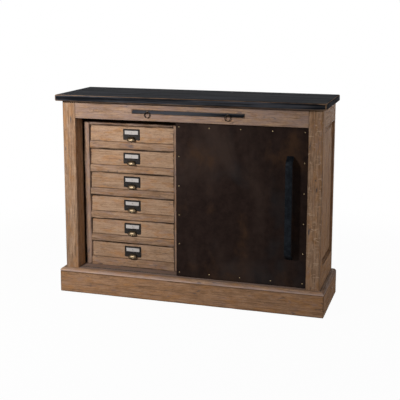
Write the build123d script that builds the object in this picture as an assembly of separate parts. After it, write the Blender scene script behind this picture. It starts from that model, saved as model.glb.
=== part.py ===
# Accent cabinet in oak: six drawers, a sliding door clad in sheet metal, a pull-out tray and a plinth.
# Millimetres. +X right, +Y to the back, +Z up, origin on the floor at the middle of the outer box.
import os

from build123d import *

# Overall sizes
plinth_width = 1357.0
top_depth = 420.0
overall_height = 1017.5

# Top board
top_thickness = 32.0
top_front_overhang = 46.0
top_side_overhang = 20.0
top_corner_round = 9.0
top_upper_round = 6.0
top_lower_round = 3.0

# Plinth and its moulding
plinth_height = 107.0
plinth_thickness = 25.0
moulding_height = 17.0
moulding_groove = 2.5
moulding_nose_run = 15.0
moulding_nose_radius = 16.0
corner_block_size = 40.0

# Face frame, jambs and sill
stile_width = 67.0
frame_thickness = 20.0
top_rail_height = 88.0
jamb_thickness = 18.0
jamb_depth = 64.0
floor_thickness = 20.0
deck_thickness = 18.0

# Side frames and panels
side_front_stile_width = 44.0
side_rear_stile_width = 30.0
side_top_rail_height = 93.0
side_bottom_rail_rise = 101.0
panel_thickness = 8.0
panel_lap = 12.0
panel_edge_gap = 1.5
panel_edge_rise = 3.0
panel_bevel_width = 24.0
panel_field_recess = 6.0

# Back
back_recess = 4.0
back_panel_thickness = 8.0
rear_rail_thickness = 20.0
rear_rail_height = 60.0
back_screw_radius = 2.0
back_screw_length = 22.0
back_screw_head_radius = 4.0
back_screw_head_height = 2.2
back_screw_inset = 60.0
back_screw_columns = 6
screw_clearance = 0.15

# Drawer bank
drawer_count = 6
drawer_opening_width = 449.5
bank_gap = 8.5
bank_top_gap = 27.0
bank_face_thickness = 20.0
bank_stile_width = 30.5
bank_top_rail_height = 12.5
bank_rail_height = 36.0
bank_bottom_rail_height = 42.0
bank_bevel_height = 10.0
bank_bevel_depth = 6.0
bank_side_thickness = 18.0
bank_top_thickness = 12.0
runner_width = 25.0
runner_height = 20.0
guide_height = 25.0
guide_clearance = 1.0

# Drawers
drawer_reveal = 1.2
drawer_top_gap = 3.0
drawer_recess = 8.0
drawer_front_thickness = 18.0
drawer_side_thickness = 10.0
drawer_bottom_thickness = 5.0
drawer_bottom_rise = 4.0
drawer_box_height = 62.0
drawer_rear_gap = 13.0
running_clearance = 0.3

# Label-holder cup pulls
pull_width = 90.0
pull_height = 56.0
pull_below_middle = 2.5
pull_plate_thickness = 2.0
pull_corner = 4.0
window_width = 72.0
window_height = 20.0
window_drop = 11.5
window_border = 3.5
window_border_rise = 2.4
card_thickness = 0.8
card_clearance = 0.3
cup_half_width = 22.5
cup_radius = 19.0
cup_shoulder = 16.0
cup_wall = 1.8
cup_drop = 2.5
cup_seat = 0.5

# Sliding door
door_recess = 16.0
door_core_thickness = 24.0
door_sheet_thickness = 1.5
door_stile_margin = 35.0
door_side_clearance = 2.0
door_bottom_clearance = 2.0
door_top_clearance = 4.0
nail_columns = 5
nail_rows = 6
nail_inset = 16.0
nail_end_inset = 20.0
nail_head_radius = 3.2
nail_head_height = 1.6
nail_shank_radius = 1.0
nail_shank_length = 14.0
nail_clearance = 0.1

# Door handle
handle_length = 500.0
handle_width = 33.0
handle_standoff = 40.0
handle_thickness = 10.0
handle_end_run = 25.0
handle_foot_length = 15.0
handle_edge_inset = 83.0
handle_bend_radius = 6.0
handle_bolt_radius = 2.0
handle_bolt_depth = 9.0
handle_bolt_inset = 11.0
handle_bolt_head_radius = 5.0
handle_bolt_head_height = 3.0
bolt_clearance = 0.2

# Door tracks, glides and pins
track_width = 10.0
track_wall = 1.5
bottom_track_depth = 8.0
top_track_depth = 10.0
glide_length = 40.0
glide_end_inset = 60.0
top_pin_reach = 6.0

# Pull-out tray
tray_width = 568.0
tray_thickness = 21.5
tray_rear_gap = 24.0
tray_front_thickness = 12.0
tray_clearance = 0.5
tray_runner_ledge = 16.0
tray_runner_fence = 16.0
tray_keeper_height = 14.0
eye_inset = 82.0
eye_standoff = 6.5
eye_radius = 3.5
eye_wire_radius = 1.2
eye_base_radius = 6.5
eye_base_thickness = 1.5
ring_radius = 13.5
ring_wire_radius = 2.0

# Shelf behind the door
shelf_thickness = 18.0
shelf_side_clearance = 1.0
shelf_front_setback = 12.0
shelf_rear_clearance = 4.0
shelf_height_share = 0.5
cleat_size = 20.0

# One length by which cutting shapes run past what they cut
overrun = 5.0

# Planes worked out from the sizes above
plinth_half = plinth_width / 2
half_depth = top_depth / 2
frame_half = plinth_half - plinth_thickness
opening_half = frame_half - stile_width
side_inner = frame_half - frame_thickness
panel_inner = side_inner - panel_thickness
back_plane = half_depth
face_front = -half_depth + top_front_overhang
face_back = face_front + frame_thickness
bank_front = face_back + jamb_depth
bank_face_back = bank_front + bank_face_thickness
panel_back = back_plane - back_recess
panel_front = panel_back - back_panel_thickness
rear_rail_front = panel_front - rear_rail_thickness
sill_top = plinth_height + moulding_height
floor_bottom = sill_top - floor_thickness
top_bottom = overall_height - top_thickness
rail_bottom = top_bottom - top_rail_height
deck_top = rail_bottom + deck_thickness
bank_top = rail_bottom - bank_top_gap
bank_left = -opening_half + bank_gap
drawer_left = bank_left + bank_stile_width
drawer_right = drawer_left + drawer_opening_width
drawer_middle = (drawer_left + drawer_right) / 2
bank_right = drawer_right + bank_stile_width
partition_left = bank_right - bank_side_thickness
bank_rails_total = bank_top_rail_height + bank_bottom_rail_height + bank_rail_height * (drawer_count - 1)
drawer_opening_height = (bank_top - sill_top - bank_rails_total) / drawer_count
drawer_pitch = drawer_opening_height + bank_rail_height
door_front = face_front + door_recess
door_sheet_back = door_front + door_sheet_thickness
door_back = door_sheet_back + door_core_thickness
door_left = drawer_right + door_stile_margin
door_right = opening_half - door_side_clearance
door_bottom = sill_top + door_bottom_clearance
door_top = rail_bottom - door_top_clearance
door_middle_y = (door_sheet_back + door_back) / 2
tray_middle_z = (rail_bottom + top_bottom) / 2
tray_half = tray_width / 2
eye_x = tray_half - eye_inset
eye_y = face_front - eye_standoff


def slab(x0, x1, y0, y1, z0, z1):
    """A board between two corners."""
    return Pos((x0 + x1) / 2, (y0 + y1) / 2, (z0 + z1) / 2) * Box(x1 - x0, y1 - y0, z1 - z0)


def prism(points, low, high):
    """A plan outline raised from one height to another."""
    outline = make_face(Polyline(*points, close=True))
    return Pos(0, 0, low) * extrude(outline, high - low)


def rod_y(radius, x, z, y0, y1):
    """A round bar along Y."""
    return Pos(x, (y0 + y1) / 2, z) * Rot(90, 0, 0) * Cylinder(radius, y1 - y0)


def both_sides(solid):
    """A piece on the right and its mirror image on the left."""
    return [solid, mirror(solid, Plane.YZ)]


def save(name, solids):
    """Writes one node, a single solid or a group of them."""
    pieces = solids if isinstance(solids, list) else [solids]
    shape = pieces[0] if len(pieces) == 1 else Compound(pieces)
    export_step(shape, f"parts/{name}.step")


def drawer_floor(number):
    """Height of the opening's lower edge for a drawer, counted from the top."""
    return bank_top - bank_top_rail_height - drawer_opening_height - (number - 1) * drawer_pitch


def top_board():
    half = frame_half + top_side_overhang
    board = slab(-half, half, -half_depth, back_plane, top_bottom, overall_height)
    board = fillet(board.edges().filter_by(Axis.Z).sort_by(Axis.Y)[:2], top_corner_round)
    upper = board.edges().group_by(Axis.Z)[-1].sort_by(Axis.Y)[:-1]
    lower = board.edges().group_by(Axis.Z)[0].sort_by(Axis.Y)[:-1]
    return fillet(upper, top_upper_round).fillet(top_lower_round, lower)


def front_stile():
    """The right front stile and the jamb board glued behind it."""
    stile = slab(opening_half, frame_half, face_front, face_back, 0, top_bottom)
    jamb = slab(opening_half, opening_half + jamb_thickness, face_back, bank_front, sill_top, rail_bottom)
    return [stile, jamb]


def front_top_rail():
    rail = slab(-opening_half, opening_half, face_front, face_back, rail_bottom, top_bottom)
    slot_half = tray_half + tray_clearance
    slot_rise = tray_thickness / 2 + tray_clearance
    slot = slab(
        -slot_half, slot_half, face_front - overrun, face_back + overrun,
        tray_middle_z - slot_rise, tray_middle_z + slot_rise,
    )
    return rail - slot


def panel_opening():
    """The side frame's opening as (front y, rear y, low z, high z)."""
    return (
        face_back + side_front_stile_width, back_plane - side_rear_stile_width,
        sill_top + side_bottom_rail_rise, top_bottom - side_top_rail_height,
    )


def side_frame():
    """The right side frame: two stiles and two rails."""
    y0, y1, z0, z1 = panel_opening()
    front = slab(side_inner, frame_half, face_back, y0, 0, top_bottom)
    rear = slab(side_inner, frame_half, y1, back_plane, 0, top_bottom)
    top = slab(side_inner, frame_half, y0, y1, z1, top_bottom)
    bottom = slab(side_inner, frame_half, y0, y1, 0, z0)
    return [front, rear, top, bottom]


def side_panel():
    """The right panel: a flat board behind the frame, raised in its opening to a field with bevelled edges."""
    y0, y1, z0, z1 = panel_opening()
    board = slab(panel_inner, side_inner, y0 - panel_lap, y1 + panel_lap, z0 - panel_lap, z1 + panel_lap)
    width = y1 - y0 - 2 * panel_edge_gap
    height = z1 - z0 - 2 * panel_edge_gap
    middle = Pos((y0 + y1) / 2, (z0 + z1) / 2)
    foot = Plane.YZ.offset(side_inner) * middle * Rectangle(width, height)
    edge = Plane.YZ.offset(side_inner + panel_edge_rise) * middle * Rectangle(width, height)
    field = Plane.YZ.offset(frame_half - panel_field_recess) * middle * Rectangle(
        width - 2 * panel_bevel_width, height - 2 * panel_bevel_width
    )
    return board + extrude(foot, panel_edge_rise) + loft([edge, field])


def plinth_outlines():
    """Plan outlines of the front and right plinth pieces, mitred where they meet."""
    plinth_front = face_front - plinth_thickness
    front = [
        (-plinth_half, plinth_front), (plinth_half, plinth_front),
        (frame_half, face_front), (-frame_half, face_front),
    ]
    right = [
        (frame_half, face_front), (plinth_half, plinth_front),
        (plinth_half, back_plane), (frame_half, back_plane),
    ]
    return front, right


def plinth_boards():
    front, right = plinth_outlines()
    return [prism(front, 0, plinth_height), *both_sides(prism(right, 0, plinth_height))]


def moulding_section():
    """Flat top, round nose and a small groove below: x outwards from the carcass, y up from the plinth."""
    out = plinth_thickness
    groove = moulding_groove
    rise = moulding_height
    flat = out - moulding_nose_run
    base = Line((0, 0), (out - groove, 0))
    wall = Line((out - groove, 0), (out - groove, groove))
    lip = Line((out - groove, groove), (out, groove))
    nose = RadiusArc((out, groove), (flat, rise), -moulding_nose_radius)
    cap = Line((flat, rise), (0, rise))
    back = Line((0, rise), (0, 0))
    return make_face([base, wall, lip, nose, cap, back])


def plinth_mouldings():
    front, right = plinth_outlines()
    top = plinth_height + moulding_height
    section = moulding_section()
    along_x = Plane((plinth_half, face_front, plinth_height), x_dir=(0, -1, 0), z_dir=(-1, 0, 0))
    along_y = Plane((frame_half, back_plane, plinth_height), x_dir=(1, 0, 0), z_dir=(0, -1, 0))
    front_strip = extrude(along_x * section, plinth_width) & prism(front, plinth_height, top)
    reach = back_plane - face_front + plinth_thickness
    side_strip = extrude(along_y * section, reach) & prism(right, plinth_height, top)
    return [front_strip.solids()[0], *both_sides(side_strip.solids()[0])]


def base_frame():
    """Front and rear bottom rails with four corner blocks, hidden behind the plinth."""
    front = slab(-opening_half, opening_half, face_front, face_back, 0, floor_bottom)
    rear = slab(-side_inner, side_inner, rear_rail_front, panel_front, 0, floor_bottom)
    size = corner_block_size
    block_front = slab(side_inner - size, side_inner, face_back, face_back + size, 0, floor_bottom)
    block_rear = slab(side_inner - size, side_inner, rear_rail_front - size, rear_rail_front, 0, floor_bottom)
    for x, z in back_screw_places():
        if z < floor_bottom:
            rear -= back_screw_hole(x, z)
    return [front, rear, *both_sides(block_front), *both_sides(block_rear)]


def cabinet_floor():
    """The floor board, whose front edge is the sill, with the groove for the lower door track."""
    front = slab(-opening_half, opening_half, face_front, face_back, floor_bottom, sill_top)
    main = slab(-side_inner, side_inner, face_back, panel_front, floor_bottom, sill_top)
    groove = slab(
        -opening_half, opening_half, door_middle_y - track_width / 2, door_middle_y + track_width / 2,
        sill_top - bottom_track_depth, sill_top + overrun,
    )
    return front + main - groove


def inner_deck():
    """The board over both bays, under the tray, with the groove for the upper door track."""
    deck = slab(-panel_inner, panel_inner, face_back, rear_rail_front, rail_bottom, deck_top)
    groove = slab(
        -opening_half, opening_half, door_middle_y - track_width / 2, door_middle_y + track_width / 2,
        rail_bottom - overrun, rail_bottom + top_track_depth,
    )
    return deck - groove


def channel(depth, mouth_z, way):
    """A metal channel along the opening whose mouth is at mouth_z and opens down (-1) or up (1)."""
    half = track_width / 2
    floor_z = mouth_z - way * depth
    outer = slab(
        -opening_half, opening_half, door_middle_y - half, door_middle_y + half,
        min(mouth_z, floor_z), max(mouth_z, floor_z),
    )
    inside_floor = floor_z + way * track_wall
    past_mouth = mouth_z + way * overrun
    inner_half = half - track_wall
    inner = slab(
        -opening_half - overrun, opening_half + overrun, door_middle_y - inner_half, door_middle_y + inner_half,
        min(inside_floor, past_mouth), max(inside_floor, past_mouth),
    )
    return outer - inner


def door_tracks():
    return [channel(bottom_track_depth, sill_top, 1), channel(top_track_depth, rail_bottom, -1)]


def back_screw_places():
    """Screw places along the rear top and bottom rails, as (x, z)."""
    run = 2 * (side_inner - back_screw_inset)
    columns = [-run / 2 + run * index / (back_screw_columns - 1) for index in range(back_screw_columns)]
    rows = [floor_bottom / 2, top_bottom - rear_rail_height / 2]
    return [(x, z) for z in rows for x in columns]


def back_screw_hole(x, z):
    tip = panel_back - back_screw_length - screw_clearance
    return rod_y(back_screw_radius + screw_clearance, x, z, tip, panel_back + overrun)


def rear_top_rail():
    rail = slab(
        -side_inner, side_inner, rear_rail_front, panel_front, top_bottom - rear_rail_height, top_bottom,
    )
    for x, z in back_screw_places():
        if z > floor_bottom:
            rail -= back_screw_hole(x, z)
    return rail


def back_panel():
    panel = slab(-side_inner, side_inner, panel_front, panel_back, 0, top_bottom)
    for x, z in back_screw_places():
        panel -= back_screw_hole(x, z)
    return panel


def back_panel_screws():
    screws = []
    for x, z in back_screw_places():
        shank = rod_y(back_screw_radius, x, z, panel_back - back_screw_length, panel_back)
        head = rod_y(back_screw_head_radius, x, z, panel_back, panel_back + back_screw_head_height)
        screws.append(shank + head)
    return screws


def partition():
    return slab(partition_left, bank_right, bank_face_back, rear_rail_front, sill_top, rail_bottom)


def bank_casing():
    """Left side and top of the drawer bank."""
    side = slab(
        bank_left, bank_left + bank_side_thickness, bank_face_back, rear_rail_front, sill_top, bank_top,
    )
    top = slab(
        bank_left, partition_left, bank_face_back, rear_rail_front, bank_top, bank_top + bank_top_thickness,
    )
    return [side, top]


def bank_rail(low, high):
    """A rail below a drawer, with its upper front edge planed off."""
    section = [
        (bank_front, low), (bank_face_back, low), (bank_face_back, high),
        (bank_front + bank_bevel_depth, high), (bank_front, high - bank_bevel_height),
    ]
    end = Plane.YZ.offset(drawer_left) * make_face(Polyline(*section, close=True))
    return extrude(end, drawer_opening_width)


def bank_face_frame():
    """Two stiles and the rails above, between and below the drawers."""
    left = slab(bank_left, drawer_left, bank_front, bank_face_back, sill_top, bank_top)
    right = slab(drawer_right, bank_right, bank_front, bank_face_back, sill_top, bank_top)
    top = slab(drawer_left, drawer_right, bank_front, bank_face_back, bank_top - bank_top_rail_height, bank_top)
    rails = [top, bank_rail(sill_top, sill_top + bank_bottom_rail_height)]
    for number in range(1, drawer_count):
        rails.append(bank_rail(drawer_floor(number) - bank_rail_height, drawer_floor(number)))
    return [left, right, *rails]


def drawer_runners():
    """Runners under both edges of each drawer, each with a guide strip beside the drawer."""
    left_wall = bank_left + bank_side_thickness
    right_wall = partition_left
    guide_left = drawer_left + drawer_reveal - guide_clearance
    guide_right = drawer_right - drawer_reveal + guide_clearance
    pieces = []
    for number in range(1, drawer_count + 1):
        z = drawer_floor(number)
        for x0, x1 in ((left_wall, left_wall + runner_width), (right_wall - runner_width, right_wall)):
            pieces.append(slab(x0, x1, bank_face_back, rear_rail_front, z - runner_height, z))
        for x0, x1 in ((left_wall, guide_left), (guide_right, right_wall)):
            pieces.append(slab(x0, x1, bank_face_back, rear_rail_front, z, z + guide_height))
    return pieces


def drawer_front(number):
    low = drawer_floor(number)
    front = bank_front + drawer_recess
    return slab(
        drawer_left + drawer_reveal, drawer_right - drawer_reveal, front, front + drawer_front_thickness,
        low + drawer_reveal, low + drawer_opening_height - drawer_top_gap,
    )


def drawer_box(number):
    """Two sides, a back and a bottom behind the drawer front."""
    low = drawer_floor(number) + running_clearance
    high = low + drawer_box_height
    y0 = bank_front + drawer_recess + drawer_front_thickness
    y1 = rear_rail_front - drawer_rear_gap
    x0 = drawer_left + drawer_reveal
    x1 = drawer_right - drawer_reveal
    wall = drawer_side_thickness
    bottom_low = low + drawer_bottom_rise
    bottom_high = bottom_low + drawer_bottom_thickness
    left = slab(x0, x0 + wall, y0, y1, low, high)
    right = slab(x1 - wall, x1, y0, y1, low, high)
    back = slab(x0 + wall, x1 - wall, y1 - wall, y1, bottom_high, high)
    bottom = slab(x0 + wall, x1 - wall, y0, y1, bottom_low, bottom_high)
    return [left, right, back, bottom]


def pull_centre(number):
    return drawer_floor(number) + drawer_opening_height / 2 - pull_below_middle


def window_middle(number):
    return pull_centre(number) + pull_height / 2 - window_drop - window_height / 2 + window_border


def drawer_pull(number):
    """One casting: back plate, raised border round the label and a half-dome cup open below."""
    face = bank_front + drawer_recess
    plate_front = face - pull_plate_thickness
    middle = pull_centre(number)
    upright = Plane((drawer_middle, face, middle), x_dir=(1, 0, 0), z_dir=(0, -1, 0))
    plate = extrude(upright * RectangleRounded(pull_width, pull_height, pull_corner), pull_plate_thickness)
    label = Plane((drawer_middle, plate_front, window_middle(number)), x_dir=(1, 0, 0), z_dir=(0, -1, 0))
    rim = RectangleRounded(window_width + 2 * window_border, window_height + 2 * window_border, window_border)
    border = extrude(label * (rim - Rectangle(window_width, window_height)), window_border_rise)
    rim_z = middle - pull_height / 2 - cup_drop
    cup = Pos(drawer_middle, plate_front + cup_seat, rim_z) * cup_shell()
    return plate + border + cup


def cup_section(half_width, radius, bend):
    """Half outline of the cup from end to end, with round shoulders."""
    corners = [(-half_width, 0), (-half_width, radius), (half_width, radius), (half_width, 0)]
    return make_face([FilletPolyline(*corners, radius=bend), Line(corners[-1], corners[0])])


def cup_shell():
    """A quarter turn of a hollow cup: its back meets the plate and its mouth faces down."""
    outer = cup_section(cup_half_width, cup_radius, cup_shoulder)
    inner = cup_section(cup_half_width - cup_wall, cup_radius - cup_wall, cup_shoulder - cup_wall)
    return Rot(90, 0, 0) * (revolve(outer, Axis.X, 90) - revolve(inner, Axis.X, 90))


def drawer_card(number):
    plate_front = bank_front + drawer_recess - pull_plate_thickness
    half_width = window_width / 2 - card_clearance
    half_height = window_height / 2 - card_clearance
    z = window_middle(number)
    return slab(
        drawer_middle - half_width, drawer_middle + half_width, plate_front - card_thickness, plate_front,
        z - half_height, z + half_height,
    )


def nail_places():
    """Nails round the edge of the door, as (x, z)."""
    x0 = door_left + nail_inset
    x1 = door_right - nail_inset
    z0 = door_bottom + nail_end_inset
    z1 = door_top - nail_end_inset
    columns = [x0 + (x1 - x0) * index / (nail_columns - 1) for index in range(nail_columns)]
    rows = [z0 + (z1 - z0) * index / (nail_rows - 1) for index in range(nail_rows)]
    rim = [(x, z) for x in columns for z in (rows[0], rows[-1])]
    return rim + [(x, z) for x in (columns[0], columns[-1]) for z in rows[1:-1]]


def nail_holes():
    tip = door_front + nail_shank_length + nail_clearance
    radius = nail_shank_radius + nail_clearance
    return [rod_y(radius, x, z, door_front - overrun, tip) for x, z in nail_places()]


def handle_x():
    return door_right - handle_edge_inset


def handle_bolt_places():
    middle = (door_bottom + door_top) / 2
    reach = handle_length / 2 - handle_bolt_inset
    return [(handle_x(), middle - reach), (handle_x(), middle + reach)]


def handle_bolt_holes():
    tip = door_front - handle_bolt_depth - bolt_clearance
    radius = handle_bolt_radius + bolt_clearance
    return [rod_y(radius, x, z, tip, door_back + overrun) for x, z in handle_bolt_places()]


def door_core():
    core = slab(door_left, door_right, door_sheet_back, door_back, door_bottom, door_top)
    return core - nail_holes() - handle_bolt_holes()


def door_sheet():
    sheet = slab(door_left, door_right, door_front, door_sheet_back, door_bottom, door_top)
    return sheet - nail_holes() - handle_bolt_holes()


def door_nails():
    """Domed nail heads on the sheet, with shanks into the core."""
    rise = nail_head_height
    ball = (nail_head_radius**2 + rise**2) / (2 * rise)
    nails = []
    for x, z in nail_places():
        shank = rod_y(nail_shank_radius, x, z, door_front, door_front + nail_shank_length)
        head = Pos(x, door_front + ball - rise, z) * Sphere(ball)
        front_half = rod_y(nail_head_radius, x, z, door_front - rise, door_front)
        nails.append(shank + (head & front_half))
    return nails


def door_handle():
    """A flat bar whose ends slope back to the door, drawn from the side and given its width."""
    half = handle_length / 2
    out = handle_standoff
    inside = out - handle_thickness
    inner_half = half - handle_foot_length
    inner_bar = half - handle_end_run - handle_thickness / 2
    side = [
        (0, -half), (out, -half + handle_end_run), (out, half - handle_end_run), (0, half),
        (0, inner_half), (inside, inner_bar), (inside, -inner_bar), (0, -inner_half),
    ]
    middle = (door_bottom + door_top) / 2
    across = Plane((handle_x() - handle_width / 2, door_front, middle), x_dir=(0, -1, 0), z_dir=(1, 0, 0))
    bar = extrude(across * make_face(Polyline(*side, close=True)), handle_width)
    outer, inner = bar.edges().filter_by(Axis.X).group_by(Axis.Y)[:2]
    bent = fillet(inner, handle_bend_radius).fillet(handle_bend_radius + handle_thickness, outer)
    return bent - handle_bolt_holes()


def handle_bolts():
    bolts = []
    for x, z in handle_bolt_places():
        shank = rod_y(handle_bolt_radius, x, z, door_front - handle_bolt_depth, door_back)
        head = rod_y(handle_bolt_head_radius, x, z, door_back, door_back + handle_bolt_head_height)
        bolts.append(shank + head)
    return bolts


def door_guides():
    """Two glides in the lower track and two pins in the upper one."""
    inner_half = track_width / 2 - track_wall - running_clearance
    glide_low = sill_top - bottom_track_depth + track_wall + running_clearance
    guides = []
    for x in (door_left + glide_end_inset, door_right - glide_end_inset):
        guides.append(slab(
            x - glide_length / 2, x + glide_length / 2,
            door_middle_y - inner_half, door_middle_y + inner_half, glide_low, door_bottom,
        ))
        pin_top = rail_bottom + top_pin_reach
        guides.append(Pos(x, door_middle_y, (door_top + pin_top) / 2) * Cylinder(inner_half, pin_top - door_top))
    return guides


def tray_board():
    rise = tray_thickness / 2
    front = face_front + tray_front_thickness
    return slab(
        -tray_half, tray_half, front, rear_rail_front - tray_rear_gap,
        tray_middle_z - rise, tray_middle_z + rise,
    )


def tray_front():
    rise = tray_thickness / 2
    return slab(
        -tray_half, tray_half, face_front, face_front + tray_front_thickness,
        tray_middle_z - rise, tray_middle_z + rise,
    )


def tray_runner():
    """The right tray runner: a ledge, a fence and a keeper in one C-shaped piece on the deck."""
    groove_low = tray_middle_z - tray_thickness / 2 - running_clearance
    groove_high = tray_middle_z + tray_thickness / 2 + running_clearance
    groove_side = tray_half + tray_clearance
    blank = slab(
        groove_side - tray_runner_ledge, groove_side + tray_runner_fence, face_back, rear_rail_front,
        deck_top, groove_high + tray_keeper_height,
    )
    groove = slab(
        groove_side - tray_runner_ledge - overrun, groove_side, face_back - overrun, rear_rail_front + overrun,
        groove_low, groove_high,
    )
    return blank - groove


def ring_eyes():
    """Screw eyes on the tray front, each a rosette, a short shank and a loop."""
    eyes = []
    for x in (-eye_x, eye_x):
        rosette = rod_y(eye_base_radius, x, tray_middle_z, face_front - eye_base_thickness, face_front)
        shank = rod_y(eye_wire_radius, x, tray_middle_z, eye_y + eye_radius, face_front)
        loop = Pos(x, eye_y, tray_middle_z) * Rot(0, 90, 0) * Torus(eye_radius, eye_wire_radius)
        eyes.append(rosette + shank + loop)
    return eyes


def ring(side):
    """A ring hanging from its eye, side -1 on the left and 1 on the right."""
    return Pos(side * eye_x, eye_y, tray_middle_z - ring_radius) * Rot(90, 0, 0) * Torus(
        ring_radius, ring_wire_radius
    )


def shelf_bottom():
    return sill_top + (rail_bottom - sill_top) * shelf_height_share


def shelf():
    return slab(
        bank_right + shelf_side_clearance, panel_inner - shelf_side_clearance,
        bank_front + shelf_front_setback, rear_rail_front - shelf_rear_clearance,
        shelf_bottom(), shelf_bottom() + shelf_thickness,
    )


def shelf_cleats():
    y0 = bank_face_back
    y1 = rear_rail_front - shelf_rear_clearance
    z1 = shelf_bottom()
    left = slab(bank_right, bank_right + cleat_size, y0, y1, z1 - cleat_size, z1)
    right = slab(panel_inner - cleat_size, panel_inner, y0, y1, z1 - cleat_size, z1)
    return [left, right]


def left_of(solids):
    """The mirror image of right-hand pieces."""
    return [mirror(solid, Plane.YZ) for solid in solids]


os.makedirs("parts", exist_ok=True)
save("top_board", top_board())
save("right_front_stile", front_stile())
save("left_front_stile", left_of(front_stile()))
save("front_top_rail", front_top_rail())
save("right_side_frame", side_frame())
save("left_side_frame", left_of(side_frame()))
save("side_panels", both_sides(side_panel()))
save("plinth_boards", plinth_boards())
save("plinth_mouldings", plinth_mouldings())
save("base_frame", base_frame())
save("cabinet_floor", cabinet_floor())
save("inner_deck", inner_deck())
save("door_tracks", door_tracks())
save("rear_top_rail", rear_top_rail())
save("back_panel", back_panel())
save("back_panel_screws", back_panel_screws())
save("partition", partition())
save("bank_casing", bank_casing())
save("bank_face_frame", bank_face_frame())
save("drawer_runners", drawer_runners())
save("shelf", shelf())
save("shelf_cleats", shelf_cleats())
save("tray_runners", both_sides(tray_runner()))
for number in range(1, drawer_count + 1):
    save(f"drawer_{number}_front", drawer_front(number))
    save(f"drawer_{number}_box", drawer_box(number))
    save(f"drawer_{number}_pull", drawer_pull(number))
    save(f"drawer_{number}_card", drawer_card(number))
save("door_core", door_core())
save("door_sheet", door_sheet())
save("door_nails", door_nails())
save("door_handle", door_handle())
save("handle_bolts", handle_bolts())
save("door_guides", door_guides())
save("tray_board", tray_board())
save("tray_front", tray_front())
save("ring_eyes", ring_eyes())
save("left_ring", ring(-1))
save("right_ring", ring(1))
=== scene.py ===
"""Accent cabinet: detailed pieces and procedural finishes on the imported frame, in metres."""
import math

import bpy
import numpy as np
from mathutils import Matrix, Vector, noise


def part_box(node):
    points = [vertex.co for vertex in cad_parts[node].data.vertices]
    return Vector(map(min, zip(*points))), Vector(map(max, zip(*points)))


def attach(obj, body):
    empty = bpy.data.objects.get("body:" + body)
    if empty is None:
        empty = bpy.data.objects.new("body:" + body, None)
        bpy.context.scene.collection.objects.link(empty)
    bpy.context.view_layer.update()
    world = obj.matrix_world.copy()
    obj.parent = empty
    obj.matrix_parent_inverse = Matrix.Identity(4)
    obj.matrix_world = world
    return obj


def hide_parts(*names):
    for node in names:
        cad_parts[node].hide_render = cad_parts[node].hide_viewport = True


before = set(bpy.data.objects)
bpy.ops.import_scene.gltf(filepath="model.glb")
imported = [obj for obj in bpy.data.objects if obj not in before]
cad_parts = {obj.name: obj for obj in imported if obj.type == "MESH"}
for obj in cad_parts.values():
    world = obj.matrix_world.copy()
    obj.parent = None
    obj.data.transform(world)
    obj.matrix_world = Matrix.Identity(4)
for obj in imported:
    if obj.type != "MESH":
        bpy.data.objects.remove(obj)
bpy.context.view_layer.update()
scene = bpy.context.scene

X, Y, Z = 0, 1, 2

# Seed of every random draw, so that each run gives the same boards
dice = np.random.default_rng(20)

# Boards: arris radius, the band of wear, edge dirt and painted shade beside it and its largest share of a
# side, mesh step and gap
arris = 0.0012
edge_band = 0.007
edge_band_share = 0.4
board_step = 0.045
seam = 0.0003

# Share of an arris radius at half its arc, and the angle from which a mesh edge stays sharp
half_arc_share = 1 - math.tan(math.radians(22.5))
smooth_angle = math.radians(40)

# Depths of the bites along worn arrises, their repeats per metre, and the extra wear at the top's corners
heavy_wear = 0.0012
drawer_wear = 0.0006
light_wear = 0.0005
fine_wear = 0.0004
bites_per_metre = 38.0
corner_band = 0.03
corner_wear = 0.6

# Limits of what is random in a board: its grain's start, the depth and tilt of its year rings, its tone
grain_reach = 4.0
ring_reach = 0.05
ring_depth = 0.06
ring_tilt = 0.045
tone_range = (0.9, 1.06)

# Carcass sizes that the frame's boxes don't give
top_round = 0.006
jamb_thickness = 0.018
tray_clearance = 0.0005
panel_lap = 0.012
panel_gap = 0.0015
panel_edge_rise = 0.003
panel_bevel = 0.024
plinth_arris = 0.0018
moulding_groove = 0.0025
moulding_nose = 0.015
moulding_steps = 7
rail_bevel_height = 0.01
rail_bevel_depth = 0.006
# Height of the dark band along each bank rail's foot, painted shade with some dirt over the drawer below
rail_shade_band = 0.0025

# Tones and grey wash of the moulding, painted light and shade: painted shade in its groove, a painted
# highlight of pale wash along its lip, painted shade on the nose's top and on the sill behind it, and darker
# side runs as painted shade
groove_shade_tone = 0.5
lip_highlight_tone = 1.65
lip_highlight_power = 3
nose_shade_tone = 0.88
nose_wash = 0.25
sill_shade_tone = 0.68
flank_shade_tone = 0.72

# Drawers, with the share of a front's height over which its dark edge band, dirt with painted shadow from
# the rail above, sets in above the foot
drawer_arris = 0.0014
drawer_reveal = 0.0012
drawer_top_gap = 0.003
drawer_side = 0.01
drawer_bottom = 0.005
drawer_bottom_rise = 0.004
edge_shade_fade_share = 0.25

# Pulls, with the steps and the least radius of a plate's round corners
pull_plate = 0.002
pull_bevel = 0.0007
pull_corner = 0.004
pull_drop = 0.0025
corner_steps = 4
least_round_share = 0.1
window_border = 0.0035
border_rise = 0.0024
border_bevel = 0.0009
cup_half = 0.0225
cup_radius = 0.0185
cup_wall = 0.0014
cup_power = 2.8
cup_columns = 28
cup_rows = 12
rim_radius = 0.0011
pin_radius = 0.0021
pin_rise = 0.0011
pin_inset_x = 0.0085
pin_inset_z = 0.0095
card_round = 0.0002
card_ink_height = 0.0105
card_ink_rise = 0.0002

# Door
sheet_wave = 0.0004
sheet_waves_per_metre = 7.0
sheet_step = 0.02
sheet_round_share = 0.4
nail_columns = 5
nail_rows = 6
nail_inset = 0.016
nail_end_inset = 0.02
nail_radius = 0.0032
nail_rise = 0.0016
handle_thickness = 0.01
handle_round = 0.0028
handle_end_run = 0.025
handle_foot = 0.015
handle_bend = 0.016
handle_bend_steps = 6

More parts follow.
